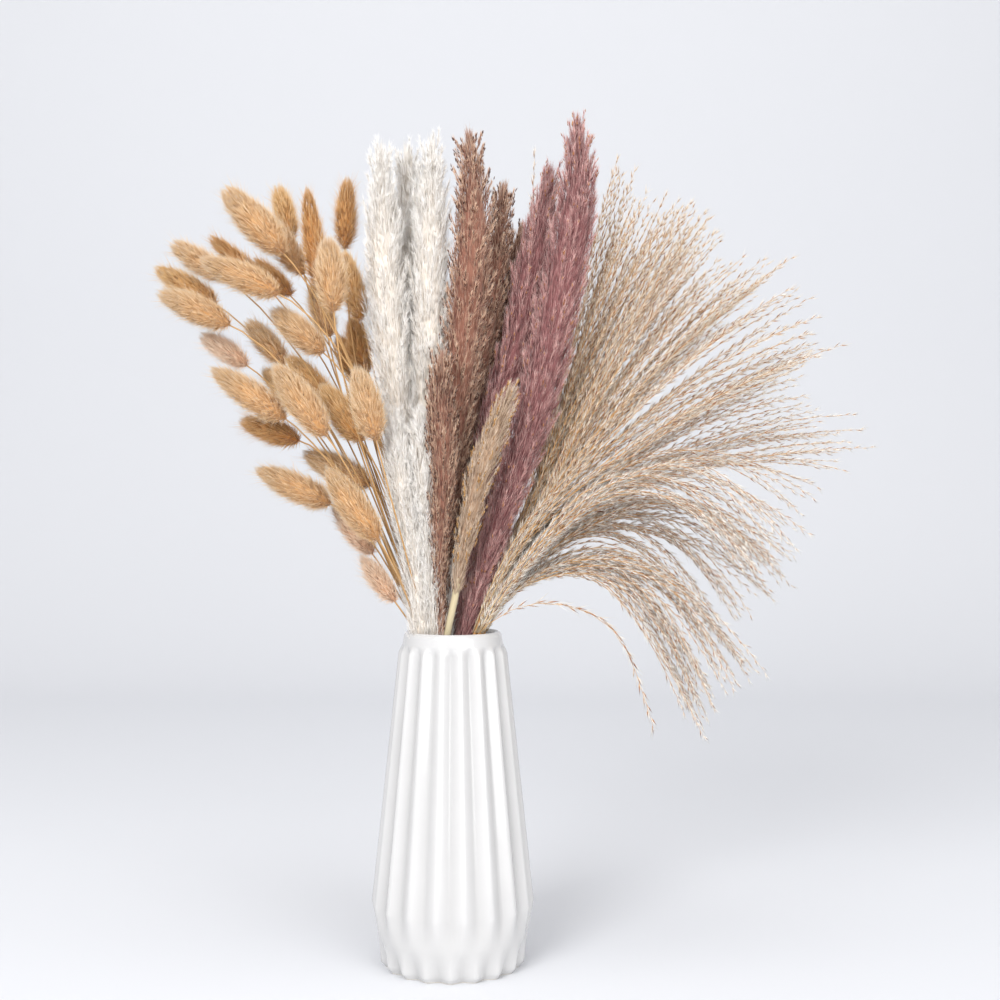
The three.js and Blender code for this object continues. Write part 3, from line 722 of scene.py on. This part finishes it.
def plume(node, settings, finish, seeds=0, light_tips=0.4, foot_share=0.4, foot_reach=0.25,
          top_share=0.35, bare=False):
    """A feathery plume: branchlets that rise steeply off the stem, each fringed with barbs.
    foot_share and top_share are its fullness at its two ends, and foot_reach is the share of
    its path over which it fills out. It is feathered from the vase's mouth up, unless the foot
    of its stem is bare."""
    dice = dice_for(node)
    path = thread(node, PLUME_SIDES)
    low = path.marks[FEATHER_RING] if bare else path.marks[MOUTH_RING] - BELOW_MOUTH / path.length
    size = path.radii.max()
    growth = Growth(len(PLUME_KINDS))
    stem = path.radius(path.marks[MOUTH_RING])
    growth.rod(tube_shape(40), path, 0.0, 0.96,
               lambda s: np.interp(s, [0, low, 1], [stem, 0.9 * stem, 0.25 * stem]),
               PLUME_KINDS["stem"], 0.3)

    def girth(shares):
        """The plume's outer radius, which stays full down to its foot and blunt at its tip."""
        foot = np.interp(shares, [low, low + foot_reach], [foot_share, 0.95])
        top = np.interp(shares, [0.8, 1], [1, top_share])
        return settings.flare * size * np.maximum(path.radius(shares) / size, np.minimum(foot, top))

    # painted shade: a closed middle in the darkest barb colours, dark in the heart of the plume
    growth.rod(tube_shape(36, 10), path, low, PLUME_CORE_END,
               lambda s: settings.core * girth(s) * np.clip((PLUME_CORE_END - s) / TAPER, 0, 1)
               * np.clip((s - low) / 0.04 + 0.2, 0, 1),
               PLUME_KINDS["barb"], 0.1, side_shade=0.5, tone=(0.0, 0.25))
    scale = (1 - low) * path.length / FULL_LENGTH

    count = int(settings.down * scale)
    shares = dice.uniform(low, 0.985, count)
    along, out = path.outward(shares, dice.uniform(0, FULL_TURN, count))
    depth = dice.uniform(*DOWN_DEPTH, count)
    closing = np.clip((1 - shares) / TAPER, 0, 1)
    root = path.at(shares) + out * (depth * settings.core * girth(shares) * closing)[:, None]
    lean = np.abs(dice.normal(0.2, 0.12, count)) * np.interp(shares, [0.9, 1], [1, 0.4])
    length = 1.15 * settings.barb_length * dice.uniform(0.6, 1.15, count)
    length = np.minimum(length, (1.03 - shares) * path.length)
    go = leaning(along, out, lean, length, waver=0.14 * random_units(dice, count))
    patch = 0.14 * np.sin(37 * shares + 5 * dice.uniform(0, 1)) * np.sin(90 * shares)
    # painted shade: down rooted deeper in the plume is darker, with random patches and tone on top
    shade = np.interp(depth, DOWN_DEPTH, [0, 0.5]) + patch + dice.normal(0, 0.24, count)
    width = settings.barb_width * dice.uniform(0.8, 1.3, count)
    growth.add(straight_hair(), root, go, 0.0, width, PLUME_KINDS["barb"], shade)

    count = int(settings.branches * scale)
    start = low + (HIGHEST_BRANCH - low) * (np.arange(count) + dice.uniform(0, 1, count)) / count
    turns = GOLDEN_TURN * np.arange(count) + dice.normal(0, 0.3, count)
    reach = settings.branch_length * dice.uniform(0.75, 1.15, count)
    reach *= np.interp(start, [low, low + 0.15, 0.8, 1.0], [0.8, 1, 0.9, 0.6])
    reach = np.minimum(reach, (1.0 - start + 0.03 * dice.uniform(-1, 1, count)) * path.length / END_AT)
    end = start + END_AT * reach / path.length
    over = np.maximum(end - 1, 0) * path.length
    ahead, out = path.outward(np.minimum(end, 1), turns)
    aside = girth(np.minimum(end, 1)) * dice.uniform(0.66, 1.0, count)
    foot = path.at(start)
    tip = path.at(np.minimum(end, 1)) + out * aside[:, None] + ahead * (0.8 * over)[:, None]
    knee = path.at(np.minimum(start + 0.45 * (end - start), 1)) + out * (0.7 * aside)[:, None]
    run = 2 * (knee - foot)
    bend = foot - 2 * knee + tip
    growth.add(branch_axis(), foot, run, bend, 1.5 * settings.barb_width, PLUME_KINDS["barb"],
               dice.uniform(0.2, 0.7, count))

    owner = np.repeat(np.arange(count), settings.barbs)
    t = 0.42 + 0.58 * dice.uniform(0, 1, len(owner)) ** 0.65
    root = foot[owner] + run[owner] * t[:, None] + bend[owner] * (t**2)[:, None]
    along = unit(run[owner] + 2 * bend[owner] * t[:, None])
    across = square_to(along, random_units(dice, len(owner)) + 0.35 * out[owner])
    lean = np.abs(dice.normal(settings.fluff, 0.5 * settings.fluff, len(owner)))
    length = settings.barb_length * dice.uniform(0.6, 1.1, len(owner)) * (1.15 - 0.45 * t)
    length *= np.interp(start[owner], [low, 0.85, 1.0], [1, 0.95, 0.7])
    # barbs go from dark near the stem to light at the branchlet tips: partly painted shade inside the
    # plume, partly the real pale tips that light_tips stresses; random tone on top
    shade = 0.2 + (1 - light_tips) * 0.75 * t + light_tips * t**3
    shade += dice.normal(0, 0.3, count)[owner]
    shade += dice.normal(0, 0.13, len(owner))
    width = settings.barb_width * dice.uniform(0.6, 1.1, len(owner))
    growth.add(straight_hair(), root, leaning(along, across, lean, length), 0.0, width,
               PLUME_KINDS["barb"], shade)

    if seeds:
        owner = dice.integers(0, count, seeds)
        t = dice.uniform(0.75, 1.04, seeds)
        root = foot[owner] + run[owner] * t[:, None] + bend[owner] * (t**2)[:, None]
        along = unit(unit(run[owner] + 2 * bend[owner] * t[:, None]) + 0.35 * random_units(dice, seeds))
        growth.add(seed_shape(), root + 1.1 * MM * out[owner], along * (2.3 * MM), 0.0, 0.7 * MM,
                   PLUME_KINDS["seed"], dice.uniform(0, 1, seeds))
    return growth.piece(node + "_feathers", [node], finish, slot_of(node))


def grow_plumes(slot, settings, **shape):
    """Grows every plume of one colour."""
    finish = grass_finish(slot, PLUME_COLOURS[slot])
    for node in nodes_named(slot):
        plume(node, settings, finish, **shape)


# ---------------- seed sprays

SPRAY_KINDS = {"axis": 0, "spikelet": 1, "hair": 2}
SPRAY_COLOURS = [
    shades("#d0b58c #c08a46 #b9824a", "#efdfbe #e4b670 #dcae74", 0.3),
    ([(0.0, "#a86c38"), (0.35, "#82472a"), (1.0, "#45221a")],
     [(0.0, "#e0b47c"), (0.4, "#bc7e4c"), (1.0, "#84492c")]),
    shades("#dcbc8e #ecd2a8", "#fffaf0 #fffffc"),
]

FEWEST_BETWEEN, MOST_BETWEEN = 2, 8  # racemes that fill the way between two of the frame's
PARTED = np.array([0.35, 0.6])  # shares of their length at which that way is measured
BETWEEN_STEPS, FORK_STEP = 12, 3  # points on such a raceme, and the one where it leaves the stem
MOST_BOW = (1.5, 12, 2.5)  # how far it may bow to each side, in millimetres


def raceme(growth, path, settings, dice, bare, full=1.0, pale=0.7):
    """A raceme's axis with spikelets left and right of it, each in a tuft of silky hairs, whose
    colour goes from tan to cream as pale goes from 0 to 1."""
    width = settings.axis_width / 2
    thinning = width * np.array([1.5, 1, 0.35, 0.05])
    growth.rod(tube_shape(22, 4), path, 0.0, 1.0,
               lambda s: np.interp(s, [0, 0.3, 0.97, 1], thinning),
               SPRAY_KINDS["axis"], dice.uniform(0.1, 0.5), side_shade=0.5)
    count = int((1 - bare) * path.length / settings.spacing)
    order = np.arange(count)
    shares = bare + (0.995 - bare) * (order + dice.uniform(-0.3, 0.3, count) + 0.5) / count
    turns = np.pi * order + 0.09 * order + dice.normal(0, 0.35, count) + dice.uniform(0, FULL_TURN)
    along, out = path.outward(shares, turns)
    foot = path.at(shares) + out * width
    grown = np.interp(shares, [bare, bare + 0.1, 0.85, 1], [0.8, 1, 1, 0.75]) * full
    lean = dice.normal(0.34, 0.1, count)
    length = settings.spikelet_length * grown * dice.uniform(0.8, 1.15, count)
    run = leaning(along, out, lean, length)
    growth.add(seed_shape(), foot, run, along * (0.1 * length)[:, None],
               settings.spikelet_width * grown, SPRAY_KINDS["spikelet"], dice.uniform(0, 1, count))
    owner = np.repeat(order, settings.hairs)
    across = square_to(along[owner], random_units(dice, len(owner)) + 0.6 * out[owner])
    lean = dice.uniform(0.08, 0.62, len(owner))
    length = settings.hair_length * grown[owner] * dice.uniform(0.5, 1.2, len(owner))
    root = foot[owner] + 0.15 * run[owner] * dice.uniform(0, 1, len(owner))[:, None]
    width = settings.hair_width * dice.uniform(0.6, 1.3, len(owner))
    growth.add(straight_hair(), root, leaning(along[owner], across, lean, length), 0.0, width,
               SPRAY_KINDS["hair"], pale + dice.uniform(-0.3, 0.3, len(owner)))


def grown_between(first, second, share, dice):
    """A raceme between two neighbours, a little longer or shorter, and bowed its own way."""
    steps = np.linspace(0, 1, BETWEEN_STEPS)
    a, b = Path(first), Path(second)
    line = a.at(steps) * (1 - share) + b.at(steps) * share
    bow = np.array([dice.uniform(-most, most) for most in MOST_BOW]) * MM
    line += bow * np.sin(np.pi * steps)[:, None]
    fork = line[FORK_STEP]
    length = dice.uniform(0.84, 1.0)
    line = np.where(steps[:, None] > steps[FORK_STEP], fork + (line - fork) * length, line)
    stalk = random_units(dice, 1) * np.interp(steps, [0, 0.3, 1], [1.6, 3.4, 0])[:, None] * MM
    line += stalk * (1, 1, 0)
    return [(*point, 0.0) for point in line]


def fan_panicle(node, settings, finish, stem, racemes, neighbour, pale):
    """A panicle of long arching racemes that part near the top of its stem. Some of them fill
    the way to the next panicle, whose first raceme is given as the neighbour."""
    dice = dice_for(node)
    growth = Growth(len(SPRAY_KINDS))
    base = Path(stem)
    thick = stem[1][3]
    growth.rod(tube_shape(20), base, 0.0, 1.0,
               lambda s: np.interp(s, [0, 0.8, 1], [thick, 0.8 * thick, 0.45 * thick]),
               SPRAY_KINDS["axis"], 0.3)
    lines = list(racemes)
    for first, second in zip(racemes, racemes[1:] + [neighbour] * bool(neighbour)):
        apart = np.linalg.norm(Path(first).at(PARTED) - Path(second).at(PARTED), axis=-1).max()
        extra = int(np.clip(round(apart / settings.gap), FEWEST_BETWEEN, MOST_BETWEEN))
        for k in range(extra):
            lines.append(grown_between(first, second, (k + 1) / (extra + 1), dice))
    for rings in lines:
        raceme(growth, Path(rings), settings, dice, bare=dice.uniform(0.0, 0.06), pale=pale)
    return growth.piece(node + "_racemes", [node], finish, slot_of(node))


def lone_spray(node, settings, finish, bare, full):
    """A single strand with spikelets on its outer part."""
    growth = Growth(len(SPRAY_KINDS))
    path = thread(node, STRAND_SIDES)
    raceme(growth, path, settings, dice_for(node), bare=bare, full=full)
    return growth.piece(node + "_spikelets", [node], finish, slot_of(node))


# ---------------- vase


LIP_RINGS = (7, 11)  # between these two of the outline's rings the vase's lip is rounded


def vase_profile(steps):
    """The vase's outline as (radius, pleat, height) rings, from under its foot to the inner floor."""
    bm = merged("vase")
    columns = VASE_COLUMNS
    pole, rings, rest = poles(bm, columns)[0]
    corners = [(0.0, 0.0, pole.co.z, 0.0)]
    for ring in rings:
        turned = sorted(ring, key=lambda v: math.atan2(v.co.y, v.co.x) % FULL_TURN + 1e-4)
        by_angle = {round(math.atan2(v.co.y, v.co.x) / FULL_TURN * columns) % columns: v.co.xy.length
                    for v in turned}
        even = sum(by_angle[k] for k in range(0, columns, 2)) / (columns / 2)
        odd = sum(by_angle[k] for k in range(1, columns, 2)) / (columns / 2)
        corners.append(((even + odd) / 2, (even - odd) / 2, turned[0].co.z, 0.0))
    corners.append((0.0, 0.0, next(iter(rest)).co.z, 0.0))
    bm.free()
    rounded = Path(corners, steps).line
    order = np.arange(len(rounded)) / steps
    straight = np.stack([np.interp(order, np.arange(len(corners)), [c[k] for c in corners])
                         for k in range(3)], axis=-1)
    lip = (order > LIP_RINGS[0]) & (order < LIP_RINGS[1])
    return np.where(lip[:, None], rounded, straight), columns // 2


def vase_mesh(settings):
    """A profile spun round the axis, then pushed in and out to make the pleats."""
    profile, pleats = vase_profile(settings.rings_per_step)
    bm = bmesh.new()
    depth = bm.verts.layers.float.new("pleat")
    verts = []
    for radius, pleat, height in profile:
        vert = bm.verts.new((max(radius, 0.0), 0, height))
        vert[depth] = pleat
        verts.append(vert)
    edges = [bm.edges.new(pair) for pair in zip(verts, verts[1:])]
    bmesh.ops.spin(bm, geom=[*verts, *edges], cent=(0, 0, 0), axis=(0, 0, 1), angle=FULL_TURN,
                   steps=pleats * settings.columns_per_pleat, use_merge=True)
    bmesh.ops.remove_doubles(bm, verts=bm.verts, dist=SAME_PLACE)
    ridge = bm.verts.layers.float.new("ridge")
    peak = math.asin(settings.crispness)
    deepest = max(abs(v[depth]) for v in bm.verts)
    for v in bm.verts:
        turn = math.atan2(v.co.y, v.co.x)
        wave = math.asin(settings.crispness * math.cos(pleats * turn)) / peak
        push = v[depth] * wave
        # ridge runs from 0 in a valley to 1 on a ridge; the glaze reads it to paint shade into the
        # valleys
        v[ridge] = 0.5 + 0.5 * push / deepest
        if v.co.xy.length > SAME_PLACE:
            v.co.xy += v.co.xy.normalized() * push
    bmesh.ops.recalc_face_normals(bm, faces=bm.faces)
    for face in bm.faces:
        face.smooth = True
    mesh = bpy.data.meshes.new("pleated_vase")
    bm.to_mesh(mesh)
    bm.free()
    return mesh


def glaze_finish(settings):
    """White glaze with painted shade in the valleys of the pleats, lighter on the ridges, with a bare
    clay ring underneath.
    """
    shader = Shader("white_glaze")
    place = shader.node("ShaderNodeTexCoord").out("Object")
    height = shader.node("ShaderNodeSeparateXYZ", None, place).out("Z")
    ridge = shader.node("ShaderNodeAttribute", {"attribute_name": "ridge"}).out("Fac")
    cloud = shader.node("ShaderNodeTexNoise", None, Vector=place, Scale=38.0, Detail=3.0).out(0)
    ripple = shader.node("ShaderNodeTexNoise", None, Vector=place, Scale=140.0, Detail=2.0).out(0)
    glazed = (height * 1500.0 - 0.6 + cloud).limited()
    # painted shade: low on the pleats the colour goes to the darker valley colour, high on them to the
    # glaze, mottled by the cloud noise
    tone = (ridge * 0.8 + cloud * 0.4 - 0.1).limited()
    colour = shader.mix(tone, settings.valley_shade, settings.glaze)
    colour = shader.mix(glazed, settings.clay, colour)
    rough = 0.72 - 0.56 * glazed + 0.06 * cloud
    bump = shader.node("ShaderNodeBump", None, Strength=0.12, Distance=0.0006, Height=ripple)
    return shader.surface_takes(Base_Color=colour, Roughness=rough, Normal=bump.out(),
                                Coat_Weight=0.35, Coat_Roughness=0.06)


# ---------------- stage


# the floor's front edge, where it starts to bend, the wall behind it, its top and half its width
FRONT, BEND, WALL, TOP, HALF_WIDTH = -2.4, 1.1, 1.7, 3.2, 3.0
BEND_STEPS = 12
LIT = (0.03, 0, 0.25)  # the middle of the bunch
# each lamp's place, the point that it faces, its size and its power
LAMPS = {
    "key": ((-0.75, -1.65, 1.15), LIT, 1.0, 25.0),
    "fill": ((0.9, -1.6, 0.55), LIT, 1.4, 15.0),
    "wall_wash": ((0.0, -0.4, 2.2), (0.0, 1.5, 0.5), 1.6, 13.0),
}


def backdrop(paper):
    """A floor that curves up into a wall."""
    bm = bmesh.new()
    outline = [Vector((0, FRONT, 0)), Vector((0, BEND, 0))]
    centre = Vector((0, BEND, WALL - BEND))
    for k in range(1, BEND_STEPS + 1):
        angle = math.pi / 2 * k / BEND_STEPS
        outline.append(centre + Vector((0, math.sin(angle), -math.cos(angle))) * (WALL - BEND))
    outline.append(Vector((0, WALL, TOP)))
    verts = [bm.verts.new(p + Vector((-HALF_WIDTH, 0, 0))) for p in outline]
    edges = [bm.edges.new(pair) for pair in zip(verts, verts[1:])]
    sheet = bmesh.ops.extrude_edge_only(bm, edges=edges)
    moved = [v for v in sheet["geom"] if isinstance(v, bmesh.types.BMVert)]
    bmesh.ops.translate(bm, verts=moved, vec=(2 * HALF_WIDTH, 0, 0))
    bmesh.ops.recalc_face_normals(bm, faces=bm.faces)
    for face in bm.faces:
        face.smooth = True
        if face.normal.z < -0.1 or (abs(face.normal.z) < 0.1 and face.normal.y > 0):
            face.normal_flip()
    mesh = bpy.data.meshes.new("backdrop")
    bm.to_mesh(mesh)
    bm.free()
    shader = Shader("paper")
    mesh.materials.append(shader.surface_takes(Base_Color=(*paper, 1.0), Roughness=0.95,
                                               Specular_IOR_Level=0.1))
    floor = placed("backdrop", mesh)


def area_light(name, place, target, size, power):
    lamp = bpy.data.lights.new(name, "AREA")
    lamp.shape = "DISK"
    lamp.size = size
    lamp.energy = power
    holder = placed(name, lamp)
    holder.location = place
    holder.rotation_euler = (Vector(target) - Vector(place)).to_track_quat("-Z", "Y").to_euler()


def stage(settings):
    """The pale floor and wall, the soft lights and the camera."""
    backdrop(settings.paper)
    world = bpy.data.worlds.new("studio")
    world.use_nodes = True
    sky = world.node_tree.nodes["Background"]
    sky.inputs["Color"].default_value = (0.97, 0.975, 1.0, 1.0)
    sky.inputs["Strength"].default_value = 0.64
    bpy.context.scene.world = world
    for name, lamp in LAMPS.items():
        area_light(name, *lamp)
    camera = bpy.data.cameras.new("camera")
    camera.lens = settings.lens
    camera.sensor_width = 36.0
    holder = placed("camera", camera)
    holder.location = (settings.aside, -settings.distance, settings.height)
    holder.rotation_euler = (math.pi / 2, 0, 0)
    bpy.context.scene.camera = holder
    bpy.context.scene.view_settings.view_transform = "Standard"


# ---------------- operators


class GRASS_OT_stage(bpy.types.Operator):
    """Set up the floor, the lights and the camera"""

    bl_idname = "grass.stage"
    bl_label = "Stage"

    def execute(self, context):
        stage(context.scene.grass_bunch.stage)
        return {"FINISHED"}


class GRASS_OT_vase(bpy.types.Operator):
    """Make the pleated vase"""

    bl_idname = "grass.vase"
    bl_label = "Vase"

    def execute(self, context):
        settings = context.scene.grass_bunch.vase
        installed("pleated_vase", vase_mesh(settings), ["vase"], glaze_finish(settings))
        return {"FINISHED"}


class GRASS_OT_bunny_tails(bpy.types.Operator):
    """Grow the fur of the bunny tails"""

    bl_idname = "grass.bunny_tails"
    bl_label = "Bunny tails"

    def execute(self, context):
        finishes = {slot: grass_finish(slot, [TAIL_STEM, fur, TAIL_SEED])
                    for slot, fur in TAIL_FUR.items()}
        for node in nodes_named("bunny_tail"):
            bunny_tail(node, context.scene.grass_bunch.bunny_tails, finishes[slot_of(node)])
        return {"FINISHED"}


class GRASS_OT_white_plumes(bpy.types.Operator):
    """Grow the white plumes"""

    bl_idname = "grass.white_plumes"
    bl_label = "White plumes"

    def execute(self, context):
        grow_plumes("white_plume", context.scene.grass_bunch.white_plumes,
                    foot_share=0.95, top_share=0.5)
        return {"FINISHED"}


class GRASS_OT_brown_plumes(bpy.types.Operator):
    """Grow the brown plumes"""

    bl_idname = "grass.brown_plumes"
    bl_label = "Brown plumes"

    def execute(self, context):
        grow_plumes("brown_plume", context.scene.grass_bunch.brown_plumes, seeds=1500,
                    light_tips=0.75, foot_share=0.15, foot_reach=0.5, top_share=0.6)
        return {"FINISHED"}


class GRASS_OT_mauve_plumes(bpy.types.Operator):
    """Grow the mauve plumes"""

    bl_idname = "grass.mauve_plumes"
    bl_label = "Mauve plumes"

    def execute(self, context):
        grow_plumes("mauve_plume", context.scene.grass_bunch.mauve_plumes, seeds=420,
                    light_tips=0.55, foot_share=0.3, foot_reach=0.3)
        return {"FINISHED"}


class GRASS_OT_beige_plume(bpy.types.Operator):
    """Grow the beige plume"""

    bl_idname = "grass.beige_plume"
    bl_label = "Beige plume"

    def execute(self, context):
        grow_plumes("beige_plume", context.scene.grass_bunch.beige_plume, seeds=500, bare=True)
        return {"FINISHED"}


class GRASS_OT_sprays(bpy.types.Operator):
    """Grow the fan of seed sprays and the two lone ones"""

    bl_idname = "grass.sprays"
    bl_label = "Seed sprays"

    def execute(self, context):
        finish = grass_finish("seed_spray", SPRAY_COLOURS)
        settings = context.scene.grass_bunch.sprays
        fans = {node: panicle_threads(node) for node in nodes_named("fan_panicle")}
        firsts = [racemes[0] for stem, racemes in fans.values()][1:] + [None]
        tones = np.interp(np.arange(len(fans)), [0, 2, 5], [0.35, 0.5, 0.95])
        for (node, (stem, racemes)), neighbour, pale in zip(fans.items(), firsts, tones):
            fan_panicle(node, settings, finish, stem, racemes, neighbour, pale)
        lone_spray("drooping_spray", settings, finish, bare=0.6, full=1.35)
        lone_spray("thin_spray", settings, finish, bare=0.7, full=1.1)
        return {"FINISHED"}


class GRASS_PT_bunch(bpy.types.Panel):
    """Lists the pieces of the bunch"""

    bl_idname = "GRASS_PT_bunch"
    bl_label = "Grass bunch"
    bl_space_type = "VIEW_3D"
    bl_region_type = "UI"
    bl_category = "Grass bunch"

    def draw(self, context):
        for operator in OPERATORS:
            self.layout.operator(operator.bl_idname)


OPERATORS = [GRASS_OT_stage, GRASS_OT_vase, GRASS_OT_bunny_tails, GRASS_OT_white_plumes,
             GRASS_OT_brown_plumes, GRASS_OT_mauve_plumes, GRASS_OT_beige_plume, GRASS_OT_sprays]
CLASSES = [VaseSettings, BunnyTailSettings, WhitePlumeSettings, BrownPlumeSettings,
           MauvePlumeSettings, BeigePlumeSettings, SpraySettings, StageSettings,
           GrassBunchSettings, *OPERATORS, GRASS_PT_bunch]


def register():
    for cls in CLASSES:
        bpy.utils.register_class(cls)
    bpy.types.Scene.grass_bunch = PointerProperty(type=GrassBunchSettings)


def unregister():
    del bpy.types.Scene.grass_bunch
    for cls in reversed(CLASSES):
        bpy.utils.unregister_class(cls)


def main():
    """Builds every piece."""
    register()
    for operator in OPERATORS:
        group, name = operator.bl_idname.split(".")
        getattr(getattr(bpy.ops, group), name)()


if __name__ == "__main__":
    main()
